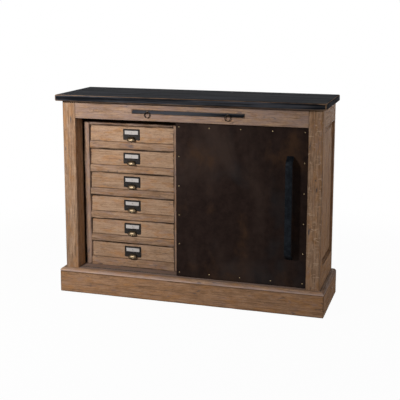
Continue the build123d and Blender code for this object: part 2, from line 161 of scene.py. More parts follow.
# Tray hardware, and the last ring of a round head as a share of its radius
eye_radius = 0.0035
eye_wire = 0.0012
eye_base_radius = 0.0065
eye_base_rise = 0.0015
ring_wire = 0.002
round_steps = 40
wire_steps = 12
dome_steps = 6
dome_tip_share = 0.02

# Where the paler patch on the door, a painted reflection, is strongest, how strong it is and how far it
# reaches
sheen_centre = (0.05, -0.15, 0.78)
sheen_strength = 0.16
sheen_reach = 0.42

# Depths of the materials' bumps
deep_bump = 0.0006
middle_bump = 0.0004
gun_bump = 0.0002
brass_bump = 0.00015
fine_bump = 0.0001

# Colours, as linear red, green and blue
oak_light = (0.47, 0.3, 0.192)
oak_mid = (0.335, 0.2, 0.12)
oak_dark = (0.11, 0.06, 0.034)
oak_amber = (0.43, 0.212, 0.086)
oak_wash = (0.3, 0.22, 0.198)
oak_stain = (0.105, 0.085, 0.085)
# Dark brown of the pores and of the edge band, which is dirt and, on the drawers and the drawer bank,
# painted shade
oak_grime_and_shade = (0.034, 0.021, 0.015)
oak_ray = (0.62, 0.43, 0.285)
plinth_light = (0.43, 0.25, 0.145)
plinth_mid = (0.32, 0.176, 0.094)
drawer_light = (0.465, 0.302, 0.196)
drawer_mid = (0.375, 0.235, 0.145)
inner_light = (0.42, 0.29, 0.18)
inner_mid = (0.33, 0.21, 0.122)
paint_black = (0.006, 0.0066, 0.0082)
paint_grey = (0.05, 0.052, 0.061)
worn_brown = (0.23, 0.152, 0.1)
bronze_dark = (0.0135, 0.0084, 0.0072)
bronze_brown = (0.028, 0.017, 0.0138)
bronze_rust = (0.052, 0.027, 0.015)
bronze_bloom_and_sheen = (0.043, 0.028, 0.0225)
bronze_cool = (0.0215, 0.021, 0.0225)
iron_black = (0.004, 0.005, 0.0068)
iron_grey = (0.012, 0.015, 0.019)
brass_bright = (0.24, 0.176, 0.104)
brass_dark = (0.042, 0.03, 0.021)
nail_bright = (0.46, 0.34, 0.185)
gun_dark = (0.0075, 0.0068, 0.0066)
gun_brown = (0.026, 0.02, 0.016)
track_shade_brown = (0.11, 0.08, 0.066)
card_white = (0.47, 0.437, 0.418)
card_stain = (0.38, 0.32, 0.28)
ink_grey = (0.11, 0.1, 0.095)
steel_light = (0.52, 0.52, 0.53)
steel_dark = (0.3, 0.3, 0.31)
nylon_light = (0.64, 0.62, 0.56)
nylon_dark = (0.52, 0.5, 0.44)
floor_grey = (0.5, 0.5, 0.5)
floor_dark = (0.45, 0.45, 0.45)
white = (1.0, 1.0, 1.0)

# Stage: the floor, nearly white and then white, and each lamp's place, aim, size and power in watts
floor_half = 14.0
floor_clear_radius = 1.3
floor_white_radius = 2.4
floor_near_white = 0.97
lamps = {
    "key": ((-0.8, -1.65, 1.42), (-1.0, -0.1, 0.5), (0.4, 0.14), 35.0),
    "right": ((2.8, -1.2, 1.5), (0.0, -0.1, 0.55), (1.0, 0.8), 18.0),
    "left": ((-2.8, 0.3, 1.3), (-0.6, 0.0, 0.6), (1.2, 1.2), 16.0),
    "rear": ((0.4, 3.1, 0.6), (0.0, 0.2, 0.5), (1.8, 0.8), 60.0),
}
sky_strength = 0.08

# Camera: angles in degrees, lens in millimetres
camera_place = (1.2676, -4.0513, 1.4694)
camera_yaw = 17.194
camera_pitch = 9.761
camera_lens = 77.67
camera_shift_y = -0.125


class Nodes:
    """Short calls that build one material's node tree."""

    def __init__(self, name):
        self.material = bpy.data.materials.new(name)
        self.material.use_nodes = True
        self.tree = self.material.node_tree
        self.shader = self.tree.nodes["Principled BSDF"]

    def put(self, socket, value):
        """Links an output to a socket, or sets a plain value on it."""
        if isinstance(value, bpy.types.NodeSocket):
            self.tree.links.new(value, socket)
        elif hasattr(value, "__len__") and len(value) < len(socket.default_value):
            socket.default_value = (*value, 1.0)
        else:
            socket.default_value = value

    def node(self, kind, inputs, **settings):
        made = self.tree.nodes.new(kind)
        for key, value in settings.items():
            setattr(made, key, value)
        for key, value in inputs.items():
            self.put(made.inputs[key], value)
        return made

    def attribute(self, name, output="Vector"):
        return self.node("ShaderNodeAttribute", {}, attribute_name=name).outputs[output]

    def place(self):
        return self.node("ShaderNodeTexCoord", {}).outputs["Object"]

    def facing(self, axis):
        """How far the surface faces along one of the object's own axes."""
        return self.parts(self.node("ShaderNodeTexCoord", {}).outputs["Normal"])[axis]

    def parts(self, vector):
        return self.node("ShaderNodeSeparateXYZ", {"Vector": vector}).outputs

    def stretch(self, vector, scale):
        return self.node("ShaderNodeVectorMath", {0: vector, 1: scale}, operation="MULTIPLY").outputs[0]

    def noise(self, vector, scale, detail=4.0, rough=0.55, distortion=0.0):
        """Noise whose scale, in repeats per metre, is one number or one for each axis."""
        if isinstance(scale, tuple):
            vector = self.stretch(vector, scale)
            scale = 1.0
        inputs = {"Vector": vector, "Scale": scale, "Detail": detail, "Roughness": rough}
        return self.node("ShaderNodeTexNoise", {**inputs, "Distortion": distortion}).outputs["Fac"]

    def rings(self, vector, scale, distortion, detail_scale):
        inputs = {"Vector": vector, "Scale": scale, "Distortion": distortion, "Detail Scale": detail_scale}
        settings = {"wave_type": "RINGS", "rings_direction": "X", "wave_profile": "SAW"}
        return self.node("ShaderNodeTexWave", {**inputs, "Detail": 2.0}, **settings).outputs["Fac"]

    def math(self, operation, a, b=0.0):
        return self.node("ShaderNodeMath", {0: a, 1: b}, operation=operation).outputs[0]

    def add(self, first, second, weight):
        """A value plus a weighted second one."""
        return self.math("ADD", first, self.math("MULTIPLY", second, weight))

    def span(self, value, low, high, out_low=0.0, out_high=1.0):
        """A value's range mapped smoothly to another range."""
        inputs = {"Value": value, "From Min": low, "From Max": high, "To Min": out_low, "To Max": out_high}
        return self.node("ShaderNodeMapRange", inputs, interpolation_type="SMOOTHSTEP").outputs["Result"]

    def blend(self, share, a, b, mode="MIX"):
        """Two colours mixed. The node's colours are its inputs 6 and 7 and its output 2."""
        inputs = {"Factor": share, 6: a, 7: b}
        return self.node("ShaderNodeMix", inputs, data_type="RGBA", blend_type=mode).outputs[2]

    def cover(self, colour, over, value, low, high, most=1.0):
        """A colour covered by another where a value is high, up to the largest share."""
        return self.blend(self.span(value, low, high, 0.0, most), colour, over)

    def finish(self, colour, rough, bump=None, metallic=0.0, specular=0.5):
        """Sets the shader's sockets. A bump is a pair of its height and depth."""
        sockets = {"Base Color": colour, "Roughness": rough, "Metallic": metallic}
        sockets["Specular IOR Level"] = specular
        if bump:
            inputs = dict(zip(("Height", "Distance"), bump))
            sockets["Normal"] = self.node("ShaderNodeBump", inputs).outputs["Normal"]
        for key, value in sockets.items():
            self.put(self.shader.inputs[key], value)
        return self.material


def oak(name, light, mid, wash_share, streaks, edge_dirt_and_shade, flecked=False):
    """Brushed oak: blotches, streaks, year rings, pores, dark stains, ray flecks, a grey wash and a dark
    edge band of dirt that, where strong, is painted shade.
    Each scale is given along the grain first, then across it."""
    n = Nodes(name)
    grain = n.attribute("grain")
    tone, fleck, wash = n.parts(n.attribute("board"))
    edge = n.attribute("edge", "Fac")
    blotch = n.noise(grain, (15.0, 38.0, 38.0), detail=5.0, rough=0.65)
    streak = n.noise(grain, (3.0, 80.0, 80.0), detail=5.0, distortion=0.2)
    year = n.rings(n.stretch(grain, (0.05, 1.0, 1.0)), 30.0, 6.0, 1.6)
    line = n.noise(grain, (8.0, 240.0, 240.0), detail=3.0)
    pore = n.span(n.noise(grain, (34.0, 1500.0, 1500.0), detail=2.0), 0.56, 0.68)
    cloud = n.noise(grain, (11.0, 28.0, 28.0), rough=0.6)
    stain = n.noise(grain, (20.0, 62.0, 62.0), detail=3.0, distortion=0.4)
    body = n.add(n.math("MULTIPLY", blotch, 0.6), streak, 0.4)
    colour = n.blend(n.span(body, 0.4, 0.6), mid, light)
    colour = n.cover(colour, oak_amber, cloud, 0.46, 0.66, 0.7)
    colour = n.cover(colour, oak_dark, year, 0.62, 1.0, streaks * 0.3)
    colour = n.cover(colour, oak_dark, line, 0.5, 0.7, streaks * 0.7)
    colour = n.cover(colour, oak_stain, stain, 0.62, 0.74, streaks)
    colour = n.blend(n.math("MULTIPLY", pore, 0.55), colour, oak_grime_and_shade)
    if flecked:
        ray = n.noise(grain, (90.0, 34.0, 34.0), detail=2.0, distortion=0.9)
        ray = n.math("MULTIPLY", n.span(ray, 0.58, 0.68), fleck)
        colour = n.blend(ray, colour, oak_ray)
    patch = n.noise(grain, (11.0, 34.0, 34.0), rough=0.65)
    colour = n.cover(colour, oak_wash, n.add(patch, wash, 0.5), 0.56, 0.86, wash_share)
    # Dark edge band: dirt and, where strong as on the drawers and the bank, painted shade in the gaps round
    # the drawers
    dirt_and_shade = n.noise(grain, (9.0, 60.0, 60.0), detail=3.0)
    dirt_and_shade = n.math("MULTIPLY", n.span(dirt_and_shade, 0.28, 0.6), n.span(edge, 0.1, 0.65, 0.0, edge_dirt_and_shade))
    colour = n.blend(dirt_and_shade, colour, oak_grime_and_shade)
    shade = n.node("ShaderNodeCombineColor", {0: tone, 1: tone, 2: tone}).outputs[0]
    colour = n.blend(1.0, colour, shade, "MULTIPLY")
    rough = n.span(line, 0.2, 0.8, 0.62, 0.84)
    height = n.add(n.math("MULTIPLY", streak, 0.8), pore, -0.7)
    return n.finish(colour, rough, (height, deep_bump), specular=0.02)


def hidden_wood():
    """Plain secondary wood for the rails and runners inside, with its grain along Y."""
    n = Nodes("hidden_wood")
    place = n.place()
    streak = n.noise(place, (70.0, 2.0, 70.0), detail=5.0, distortion=0.3)
    pore = n.noise(place, (900.0, 30.0, 900.0), detail=2.0)
    colour = n.blend(n.span(streak, 0.35, 0.68), inner_mid, inner_light)
    colour = n.cover(colour, oak_dark, pore, 0.56, 0.7, 0.5)
    return n.finish(colour, 0.66, (streak, middle_bump), specular=0.25)


def black_paint():
    """Black paint on wood: brushed, dusty, dull on the end grain along X and rubbed through to brown along
    the arrises."""
    n = Nodes("black_paint")
    grain = n.attribute("grain")
    edge = n.attribute("edge", "Fac")
    streak = n.noise(grain, (2.0, 90.0, 90.0), detail=5.0)
    cloud = n.noise(grain, (3.0, 9.0, 9.0))
    scratch = n.noise(grain, (11.0, 700.0, 700.0), detail=2.0)
    chips = n.noise(grain, (14.0, 70.0, 70.0), rough=0.7)
    colour = n.blend(n.span(n.add(streak, cloud, 0.6), 0.66, 1.0), paint_black, paint_grey)
    colour = n.cover(colour, worn_brown, scratch, 0.66, 0.76, 0.35)
    worn = n.span(n.add(chips, edge, 0.8), 0.98, 1.16)
    brown = n.blend(n.span(streak, 0.3, 0.7), oak_dark, worn_brown)
    colour = n.blend(worn, colour, brown)
    end_grain = n.span(n.math("ABSOLUTE", n.facing(X)), 0.5, 0.9)
    rough = n.math("MAXIMUM", n.span(cloud, 0.3, 0.7, 0.58, 0.74), end_grain)
    height = n.add(n.math("MULTIPLY", streak, 0.6), worn, -0.3)
    return n.finish(colour, rough, (height, deep_bump), specular=0.012)


def bronze():
    """Dark sheet metal with a mottled patina: brown, cool grey, rust in patches and a paler bloom, strongest
    round one point as a painted reflection.
    """
    n = Nodes("bronze_sheet")
    place = n.place()
    away = n.node("ShaderNodeVectorMath", {0: place, 1: sheen_centre}, operation="DISTANCE")
    mottle_and_sheen = n.noise(place, (5.2, 5.2, 3.0), distortion=0.4)
    # Painted reflection: the pale bloom is raised round one point on the door
    mottle_and_sheen = n.math("ADD", mottle_and_sheen, n.span(away.outputs["Value"], 0.0, sheen_reach, sheen_strength, 0.0))
    cool = n.noise(place, (4.1, 4.1, 3.4), detail=3.0, distortion=0.3)
    patch = n.noise(place, (6.5, 6.5, 4.5), detail=5.0, rough=0.6)
    small = n.noise(place, 26.0, detail=6.0, rough=0.7)
    speck = n.noise(place, 190.0, detail=3.0)
    colour = n.blend(n.span(small, 0.2, 0.85), bronze_dark, bronze_brown)
    colour = n.cover(colour, bronze_cool, cool, 0.5, 0.7, 0.6)
    colour = n.cover(colour, bronze_bloom_and_sheen, mottle_and_sheen, 0.47, 0.74, 0.7)
    colour = n.cover(colour, bronze_rust, patch, 0.52, 0.72, 0.72)
    colour = n.cover(colour, bronze_bloom_and_sheen, speck, 0.6, 0.74, 0.25)
    rough = n.span(small, 0.3, 0.75, 0.46, 0.64)
    return n.finish(colour, rough, (n.add(small, speck, 0.25), middle_bump), specular=0.01)


def iron():
    """Blackened iron with a blue cast and a hammered skin."""
    n = Nodes("black_iron")
    place = n.place()
    dent = n.noise(place, 55.0, detail=3.0)
    scale = n.noise(place, 240.0)
    colour = n.blend(n.span(n.add(dent, scale, 0.5), 0.55, 1.0), iron_black, iron_grey)
    rough = n.span(scale, 0.3, 0.7, 0.36, 0.52)
    return n.finish(colour, rough, (dent, middle_bump), metallic=0.3, specular=0.05)


def brass(name, bright, tarnish_and_shade, tarnish):
    """Brass, brown with tarnish in patches, and with painted shade: darker where it faces down, brighter
    where it faces up.
    """
    n = Nodes(name)
    place = n.place()
    stain = n.noise(place, 150.0, rough=0.65)
    grit = n.noise(place, 900.0, detail=2.0)
    share = n.span(n.add(stain, grit, 0.3), 0.45, 0.95, tarnish, 1.0)
    # Painted shade: parts that face down take the dark colour, and parts that face up keep the bright one
    share = n.math("MAXIMUM", share, n.span(n.facing(Z), -0.25, 0.35, 1.0, 0.0))
    colour = n.blend(share, bright, tarnish_and_shade)
    rough = n.span(stain, 0.3, 0.7, 0.28, 0.46)
    return n.finish(colour, rough, (grit, brass_bump), metallic=1.0)


def gunmetal():
    """Bronze-black plate of the pulls, browner in patches."""
    n = Nodes("gunmetal")
    place = n.place()
    stain = n.noise(place, 130.0, detail=5.0, rough=0.65)
    grit = n.noise(place, 800.0, detail=2.0)
    colour = n.blend(n.span(stain, 0.38, 0.7), gun_dark, gun_brown)
    rough = n.span(grit, 0.3, 0.7, 0.36, 0.52)
    return n.finish(colour, rough, (grit, gun_bump), metallic=0.7)


def card_paper():
    """Aged card with faint stains and fibres."""
    n = Nodes("card_paper")
    place = n.place()
    stain = n.noise(place, 70.0)
    fibre = n.noise(place, (900.0, 900.0, 300.0), detail=3.0)
    colour = n.cover(card_white, card_stain, stain, 0.48, 0.82, 0.7)
    return n.finish(colour, 0.85, (fibre, fine_bump), specular=0.2)


def speckled(name, first, second, scale, metallic, rough):
    """Two close tones in a fine speckle, for ink, zinc, nylon and the tracks."""
    n = Nodes(name)
    speck = n.noise(n.place(), scale, detail=3.0)
    colour = n.blend(n.span(speck, 0.35, 0.65), first, second)
    rough = n.span(speck, 0.3, 0.7, rough, rough + 0.12)
    return n.finish(colour, rough, (speck, fine_bump), metallic)


# The record's slots, then the finishes of pieces that differ from their slot's own
finishes = {
    "oak_frame": oak("oak_frame", oak_light, oak_mid, wash_share=0.65, streaks=1.0, edge_dirt_and_shade=0.2, flecked=True),
    # The drawers' strong dark edge band is mostly painted shadow from the frame round them
    "oak_drawer": oak("oak_drawer", drawer_light, drawer_mid, wash_share=0.35, streaks=0.55, edge_dirt_and_shade=0.95),
    "inner_wood": oak("inner_wood", inner_light, inner_mid, wash_share=0.15, streaks=0.5, edge_dirt_and_shade=0.3),
    "black_wood": black_paint(),
    "bronze_sheet": bronze(),
    "black_iron": iron(),
    "brass_nails": brass("brass_nails", nail_bright, brass_dark, tarnish=0.1),
    "antique_brass": brass("antique_brass", brass_bright, brass_dark, tarnish=0.25),
    "label_card": card_paper(),
    "steel": speckled("zinc_steel", steel_light, steel_dark, scale=160.0, metallic=1.0, rough=0.34),
    "nylon": speckled("nylon", nylon_light, nylon_dark, scale=260.0, metallic=0.0, rough=0.48),
}
wood_inside = hidden_wood()
# The bank's strong dark edge band is mostly painted shade
bank_wood = oak("bank_oak", oak_light, oak_mid, wash_share=0.6, streaks=0.9, edge_dirt_and_shade=0.9)
plinth_wood = oak("plinth_oak", plinth_light, plinth_mid, wash_share=0.4, streaks=0.8, edge_dirt_and_shade=0.5)
pull_metal = gunmetal()
ring_brass = brass("ring_brass", brass_dark, gun_dark, tarnish=0.0)
# The tracks take the dark brown of the shaded sill, painted shade rather than their own colour
track_steel = speckled("track_steel", track_shade_brown, gun_brown, scale=120.0, metallic=0.0, rough=0.7)
card_ink = speckled("card_ink", ink_grey, gun_brown, scale=900.0, metallic=0.0, rough=0.7)


def box(node):
    """A CAD node's lowest and highest corners as arrays."""
    low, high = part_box(node)
    return np.array(low), np.array(high)


def cuts(low, high, radius, step, extra):
    """Places along one side of a board: close together at both arrises, then in even steps."""
    band = min(edge_band, (high - low) * edge_band_share)
    near = np.array([0.0, radius * half_arc_share, radius])
    count = max(1, round((high - low - 2 * band) / step))
    middle = np.linspace(low + band, high - band, count + 1)
    return np.unique(np.concatenate([low + near, middle, high - near, extra]))


def skin_quads(filled):
    """Quads, as flat lattice numbers, between filled cells and empty ones."""
    size = np.array(filled.shape) + 1
    padded = np.pad(filled, 1).astype(int)
    quads = []
    for axis in range(3):
        inner = [slice(1, -1)] * 3
        inner[axis] = slice(None)
        step = np.diff(padded[tuple(inner)], axis=axis)
        others = [other for other in range(3) if other != axis]
        for sign in (1, -1):
            cell = np.argwhere(step == sign)
            ring = []
            for shift in ((0, 0), (1, 0), (1, 1), (0, 1)):
                corner = cell.copy()
                corner[:, others] += shift
                ring.append(np.ravel_multi_index(corner.T, size))
            if (sign == 1) == (axis != Y):
                ring.reverse()
            quads.append(np.stack(ring, -1))
    return np.concatenate(quads)


def finish_values(points, along, depth, tone, fleck, wash, edge):
    """Grain places with a random start, and the board's tone, fleck and wash, for each point. A list of
    tones or washes is repeated along the points."""
    across = X + Y + Z - along - depth
    start = np.array([
        dice.uniform(-grain_reach, grain_reach), dice.uniform(-ring_reach, ring_reach),
        dice.uniform(ring_depth / 2, ring_depth),
    ])
    middle = (points.min(0) + points.max(0)) / 2
    grain = (points - middle)[:, [along, across, depth]]
    grain[:, 2] += grain[:, 0] * dice.uniform(-ring_tilt, ring_tilt)
    grain += start
    tone = np.multiply(tone, dice.uniform(*tone_range))
    look = np.stack([np.resize(value, len(points)) for value in (tone, fleck, wash)], -1)
    return {"grain": grain, "board": look, "edge": edge}


def board(
    low, high, along, radius=arris, wear=0.0, corner=0.0, tone=1.0, fleck=0.0, wash=0.3, hole=(),
    step=board_step,
):
    """A board between two corners with round arrises and its grain along one axis: (points, faces, values).
    wear is the depth of its worn arrises, corner the extra wear at its corners, and hole the two corners of
    a slot cut right through it."""
    low = np.array(low, float) + seam / 2
    high = np.array(high, float) - seam / 2
    sides = []
    for axis in range(3):
        extra = [c[axis] for c in hole if low[axis] < c[axis] < high[axis]]
        sides.append(cuts(low[axis], high[axis], radius, step, extra))
    filled = np.ones([len(side) - 1 for side in sides], bool)
    if hole:
        inside = []
        for axis in range(3):
            centre = (sides[axis][:-1] + sides[axis][1:]) / 2
            inside.append((centre > hole[0][axis]) & (centre < hole[1][axis]))
        filled[np.ix_(*inside)] = False
    used, quads = np.unique(skin_quads(filled), return_inverse=True)
    lattice = np.stack(np.meshgrid(*sides, indexing="ij"), -1).reshape(-1, 3)[used]
    gap = np.minimum(lattice - low, high - lattice)
    gap.sort(axis=1)
    band = min(edge_band, np.sort(high - low)[1] * edge_band_share)
    edge = 1 - np.clip(gap[:, 1] / band, 0, 1)
    core = np.clip(lattice, low + radius, high - radius)
    away = lattice - core
    length = np.linalg.norm(away, axis=1, keepdims=True)
    normal = np.divide(away, length, out=np.zeros_like(away), where=length > 0)
    points = np.where(length > 0, core + radius * normal, lattice)
    depth = int(np.argmin(high - low))
    if depth == along:
        depth = int(np.argsort(high - low)[1])
    near = 1 - np.clip(gap[:, 2] / corner_band, 0, 1)
    values = finish_values(lattice, along, depth, tone, fleck, wash, edge + corner * near)
    if wear:
        bite = [max(0.0, noise.noise(Vector(place) * bites_per_metre)) for place in lattice]
        points = points - normal * (np.array(bite) * edge * wear)[:, None]
    return points, quads.reshape(-1, 4), values


def loft(rings, caps=True):
    """Faces between closed rows of points, each row with the same count, and caps on both ends."""
    rows = np.array(rings)
    count = rows.shape[1]
    faces = []
    for row in range(len(rows) - 1):
        for spot in range(count):
            after = (spot + 1) % count
            a, b = row * count, (row + 1) * count
            faces.append((a + spot, a + after, b + after, b + spot))
    if caps:
        last = (len(rows) - 1) * count
        faces.append(tuple(range(count))[::-1])
        faces.append(tuple(range(last, last + count)))
    return rows.reshape(-1, 3), faces, {}


def add_object(name, data):
    """A new object in the scene."""
    made = bpy.data.objects.new(name, data)
    scene.collection.objects.link(made)
    return made


def piece(name, body, slot, parts, nodes=(), material=None):
    """One object from parts of (points, faces, values), riding on a body and standing for CAD nodes."""
    points, faces, start = [], [], 0
    for part_points, part_faces, _ in parts:
        points.extend(part_points)
        faces.extend(tuple(int(i) + start for i in face) for face in part_faces)
        start += len(part_points)
    mesh = bpy.data.meshes.new(name)
    mesh.from_pydata([tuple(point) for point in points], [], faces)
    layers = (("grain", "FLOAT_VECTOR", 3), ("board", "FLOAT_VECTOR", 3), ("edge", "FLOAT", 1))
    for key, kind, width in layers:
        if all(key in values for _, _, values in parts):
            data = np.concatenate([values[key].reshape(-1, width) for _, _, values in parts])
            layer = mesh.attributes.new(key, kind, "POINT")
            layer.data.foreach_set("vector" if width == 3 else "value", data.astype(np.float32).ravel())
    mesh.shade_smooth()
    mesh.set_sharp_from_angle(angle=smooth_angle)
    mesh.materials.append(material or finishes[slot])
    made = add_object(name, mesh)
    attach(made, body)
    if nodes:
        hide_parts(*nodes)


def whole(name, body, slot, node, along, **values):
    """A piece that is one board over the whole of a CAD node's box."""
    piece(name, body, slot, [board(*box(node), along, **values)], [node])


def dress(node, material):
    """Gives a CAD node that stays a procedural material."""
    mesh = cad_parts[node].data
    mesh.materials.clear()
    mesh.materials.append(material)


# Planes of the carcass and the number of drawers, read from the frame
rail_low, rail_high = box("front_top_rail")
floor_low, floor_high = box("cabinet_floor")
track_low, track_high = box("door_tracks")
deck_low, deck_high = box("inner_deck")
panel_low, panel_high = box("side_panels")
face_front, face_back = rail_low[Y], rail_high[Y]
opening_half = rail_high[X]
rail_bottom = rail_low[Z]
sill_top, floor_bottom = floor_high[Z], floor_low[Z]
drawer_numbers = range(1, sum(name.endswith("_pull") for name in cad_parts) + 1)


def build_top():
    """The black top with worn arrises and corners."""
    worn = {"wear": heavy_wear, "corner": corner_wear}
    whole("top", "cabinet", "black_wood", "top_board", X, radius=top_round, **worn)


def build_face_frame():
    """Both front stiles with their jambs, and the top rail with the tray's slot."""
    # The right stile is made darker than the left: painted shade for the light falling off to the right
    for side, tone, fleck in (("left", 0.9, 0.1), ("right", 0.85, 0.6)):
        low, high = box(f"{side}_front_stile")
        front_high = (high[X], face_back, high[Z])
        stile = board(low, front_high, Z, tone=tone, fleck=fleck, wash=0.1, wear=light_wear)
        inner = high[X] - jamb_thickness if side == "left" else low[X]
        jamb = board(
            (inner, face_back, sill_top), (inner + jamb_thickness, high[Y], rail_bottom), Z, wash=0.1,
        )
        piece(f"{side}_stile", "cabinet", "oak_frame", [stile], [f"{side}_front_stile"])
        piece(f"{side}_jamb", "cabinet", "oak_frame", [jamb], material=plinth_wood)
    tray_low, tray_high = box("tray_front")
    slot_low, slot_high = tray_low - tray_clearance, tray_high + tray_clearance
    slot_low[Y], slot_high[Y] = face_front - seam, face_back + seam
    rail = board(rail_low, rail_high, X, wear=light_wear, wash=0.5, hole=(slot_low, slot_high))
    piece("top_rail", "cabinet", "oak_frame", [rail], ["front_top_rail"])


def build_floor_and_deck():
    """Sill, floor and deck: boards before and behind the door's tracks, and one under or over each track."""
    front, back, half = track_low[Y], track_high[Y], opening_half
    # The sill's darker tone is painted shade on its top
    sill = board((-half, face_front, floor_bottom), (half, front, sill_top), X, wash=0.7, tone=sill_shade_tone)
    bed = board((-half, front, floor_bottom), (half, back, track_low[Z]), X, tone=0.8)
    main = board((floor_low[X], back, floor_bottom), floor_high, X, wash=0.7, tone=0.62)
    piece("sill_and_floor", "cabinet", "oak_frame", [sill, bed, main], ["cabinet_floor"])
    spans = [
        (deck_low, (deck_high[X], front, deck_high[Z])),
        ((deck_low[X], front, track_high[Z]), (deck_high[X], back, deck_high[Z])),
        ((deck_low[X], back, deck_low[Z]), deck_high),
    ]
    deck = [board(low, high, X, tone=0.8) for low, high in spans]
    piece("deck", "cabinet", "inner_wood", deck, ["inner_deck"])


def strip(start, end, inward, outward, profile, mitre_start=True, mitre_end=True, grain=None, **values):
    """A moulding from start to end along its outer line. The profile's points are (inward, outward, wear)
    from that line, and a mitred end is cut back by as much as it goes inward."""
    start, end, inward, outward = (np.array(v, float) for v in (start, end, inward, outward))
    length = np.linalg.norm(end - start)
    run = (end - start) / length
    count = max(2, round(length / board_step) + 1)
    rings = []
    for place in np.linspace(0, 1, count):
        ring = []
        for depth, rise, _ in profile:
            near = seam + depth * mitre_start
            far = length - seam - depth * mitre_end
            ring.append(start + run * (near + (far - near) * place) + inward * depth + outward * rise)
        rings.append(ring)
    points, faces, _ = loft(rings)
    edge = np.tile([wear for _, _, wear in profile], count)
    along = int(np.argmax(np.abs(run))) if grain is None else grain
    depth_axis = int(np.argmax(np.abs(inward if grain is None else outward)))
    return points, faces, finish_values(points, along, depth_axis, edge=edge, **values)


def build_sides():
    """Frames of both sides, and their panels with a raised field and bevelled edges."""
    low, high = box("right_side_frame")
    y0, y1 = panel_low[Y] + panel_lap, panel_high[Y] - panel_lap
    z0, z1 = panel_low[Z] + panel_lap, panel_high[Z] - panel_lap
    inner, rise = low[X], panel_high[X] - low[X]
    profile = [(0, 0, 0.6), (0, panel_edge_rise, 0.5), (panel_bevel, rise, 0.3), (panel_bevel, 0, 0.0)]
    field = {"tone": 1.05, "fleck": 0.0, "wash": 0.2}
    panels = []
    for side, name in ((-1, "left"), (1, "right")):
        low, high = box(f"{name}_side_frame")
        boards = [
            board(low, (high[X], y0, high[Z]), Z, tone=1.1, wash=0.0, wear=light_wear),
            board((low[X], y1, low[Z]), high, Z, wash=0.1, wear=light_wear),
            board((low[X], y0, z1), (high[X], y1, high[Z]), Y, tone=0.95, wash=0.1),
            board((low[X], y0, low[Z]), (high[X], y1, z0), Y, tone=0.95, wash=0.1),
        ]
        piece(f"{name}_side", "cabinet", "oak_frame", boards, [f"{name}_side_frame"], plinth_wood)
        x0, x1 = sorted((side * deck_high[X], side * inner))
        panels.append(board((x0, panel_low[Y], panel_low[Z]), (x1, panel_high[Y], panel_high[Z]), Z))
        rim = panel_gap + panel_bevel
        x0, x1 = sorted((side * inner, side * panel_high[X]))
        panels.append(board((x0, y0 + rim, z0 + rim), (x1, y1 - rim, z1 - rim), Z, **field))
        edge_y, edge_z = (y0 + panel_gap, y1 - panel_gap), (z0 + panel_gap, z1 - panel_gap)
        corners = [(side * inner, y, z) for y, z in zip(edge_y + edge_y[::-1], np.repeat(edge_z, 2))]
        for number, inward in enumerate([(0, 0, 1), (0, -1, 0), (0, 0, -1), (0, 1, 0)]):
            ends = [corners[number], corners[(number + 1) % len(corners)]]
            panels.append(strip(*ends[::side], inward, (side, 0, 0), profile, grain=Z, **field))
    piece("side_panel_boards", "cabinet", "oak_frame", panels, ["side_panels"], plinth_wood)


def mitred(part, axis, front, slope_low, slope_high):
    """A board whose ends along an axis are cut at 45 degrees where their slope is 1. front is how far each
    point lies behind the outer face."""
    points, faces, values = part
    low, high = points[:, axis].min(), points[:, axis].max()
    share = (points[:, axis] - low) / (high - low)
    points = points.copy()
    points[:, axis] += front * ((1 - share) * slope_low - share * slope_high)
    return points, faces, values


def build_plinth():
    """Three plinth boards and the rounded moulding on top of them, mitred at the front corners."""
    low, high = box("plinth_boards")
    thick = face_front - low[Y]
    worn = {"radius": plinth_arris, "wear": heavy_wear}
    front = board(low, (high[X], face_front, high[Z]), X, wash=0.15, **worn)
    boards = [mitred(front, X, front[0][:, Y] - low[Y], 1, 1)]
    for side in (-1, 1):
        x0, x1 = sorted((side * high[X], side * (high[X] - thick)))
        flank = board((x0, low[Y], low[Z]), (x1, high[Y], high[Z]), Y, wash=0.2, **worn)
        boards.append(mitred(flank, Y, high[X] - side * flank[0][:, X], 1, 0))
    piece("plinth", "cabinet", "oak_frame", boards, ["plinth_boards"], plinth_wood)
    base, top = box("plinth_mouldings")
    rise, groove = top[Z] - base[Z], moulding_groove
    turn = np.linspace(0, math.pi / 2, moulding_steps)
    nose = [(moulding_nose * (1 - math.cos(a)), groove + (rise - groove) * math.sin(a), 0.2) for a in turn]
    profile = [(groove, 0, 1.0), (groove, groove, 1.0)] + nose + [(thick, rise, 0.3), (thick, 0, 0.0)]
    # Each profile point's tone and wash, from the groove to the sill: painted shade in the groove, a painted
    # highlight fading up from the lip, painted shade on the nose's top and the sill
    lip_highlight = np.linspace(1, 0, moulding_steps) ** lip_highlight_power
    tone = [groove_shade_tone, groove_shade_tone, *(nose_shade_tone + (lip_highlight_tone - nose_shade_tone) * lip_highlight), sill_shade_tone, sill_shade_tone]
    wash = [0.0, 0.0, *(nose_wash + (1 - nose_wash) * lip_highlight), nose_wash, nose_wash]
    values = {"tone": tone, "fleck": 0.0, "wash": wash}
    # The side runs are darker all over, painted shade
    flank = {**values, "tone": np.multiply(tone, flank_shade_tone)}
    z, up = base[Z], (0, 0, 1)
    front_left, front_right = (base[X], base[Y], z), (top[X], base[Y], z)
    rear_left, rear_right = (base[X], top[Y], z), (top[X], top[Y], z)
    strips = [
        strip(front_right, front_left, (0, 1, 0), up, profile, **values),
        strip(front_left, rear_left, (1, 0, 0), up, profile, mitre_end=False, **flank),
        strip(rear_right, front_right, (-1, 0, 0), up, profile, mitre_start=False, **flank),
    ]
    piece("plinth_moulding", "cabinet", "oak_frame", strips, ["plinth_mouldings"])


